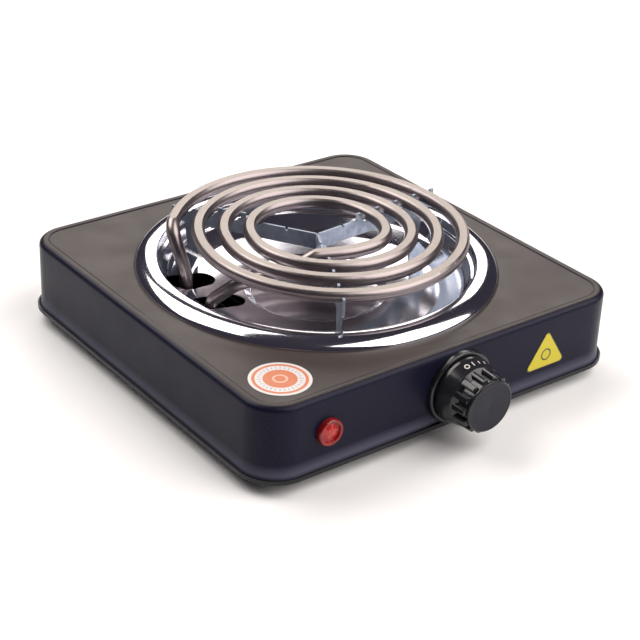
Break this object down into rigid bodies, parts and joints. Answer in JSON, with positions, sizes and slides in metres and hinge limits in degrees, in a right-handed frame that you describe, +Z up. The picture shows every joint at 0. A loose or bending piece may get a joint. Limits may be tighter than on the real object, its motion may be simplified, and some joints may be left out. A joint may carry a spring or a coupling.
{
  "type": "electric hot plate",
  "caption": "Square single-coil electric hot plate with a chrome drip bowl, a tubular spiral element on a strip spider, a rotary heat knob and a pilot lamp.",
  "frame": {"origin": "on the table, under the centre of the coil", "axes": "+Z up; -Y to the user, through the front wall with the knob; +Y to the rear wall with the cord inlet; pilot lamp at -X"},
  "size_m": [0.2244, 0.2456, 0.0673],
  "materials": {
    "shell_paint": "satin powder coat",
    "cover_steel": "satin black",
    "chrome": "bright plated",
    "coil_tube": "satin oxidised tube",
    "galvanised": "galvanised sheet",
    "steel": "plain steel",
    "zinc_screw": "zinc plated",
    "ceramic_white": "matte steatite",
    "brass": "plain",
    "knob_black": "gloss with satin face",
    "collar_black": "gloss",
    "lens_red": "moulded translucent",
    "lamp_glass": "clear",
    "plastic_black": "matte",
    "rubber_black": "matte",
    "wire_white": "fibreglass sleeve",
    "wire_green": "sleeve",
    "label_orange": "printed foil",
    "label_yellow": "printed foil"
  },
  "bodies": {
    "base": {"bottom_cover": "cover_steel", "bracket_screw": "zinc_screw", "coil_connectors": "brass", "coil_end_bracket": "galvanised", "coil_end_seals": "ceramic_white", "coil_feed_wire": "wire_white", "coil_support_front": "galvanised", "coil_support_rear_left": "galvanised", "coil_support_right": "galvanised", "coil_terminal_pins": "steel", "cord_inlet_bushing": "plastic_black", "corner_brackets": "galvanised", "drip_bowl": "chrome", "earth_nut": "zinc_screw", "earth_screw": "zinc_screw", "earth_tag": "brass", "earth_wire": "wire_green", "foot_front_left": "rubber_black", "foot_front_right": "rubber_black", "foot_rear_left": "rubber_black", "foot_rear_right": "rubber_black", "foot_screws": "zinc_screw", "heating_coil": "coil_tube", "housing_shell": "shell_paint", "knob_collar": "collar_black", "lamp_feed_wire": "wire_white", "lamp_return_wire": "wire_white", "live_wire": "wire_white", "neutral_wire": "wire_white", "pilot_lamp_bulb": "lamp_glass", "pilot_lamp_clip": "steel", "pilot_lamp_holder": "plastic_black", "pilot_lamp_lens": "lens_red", "round_label": "label_orange", "terminal_block": "ceramic_white", "terminal_screws": "brass", "thermostat_blades": "brass", "thermostat_bush": "brass", "thermostat_frame": "galvanised", "thermostat_insulator": "ceramic_white", "thermostat_screws": "zinc_screw", "triangle_label": "label_yellow"},
    "knob": {"knob": "knob_black", "thermostat_spindle": "steel"}
  },
  "joints": [
    {"name": "knob_turn", "type": "hinge", "parent": "base", "child": "knob", "pos_m": [0.003, -0.11, 0.0255], "axis": [0, 1, 0], "range_deg": [0, 290]}
  ]
}
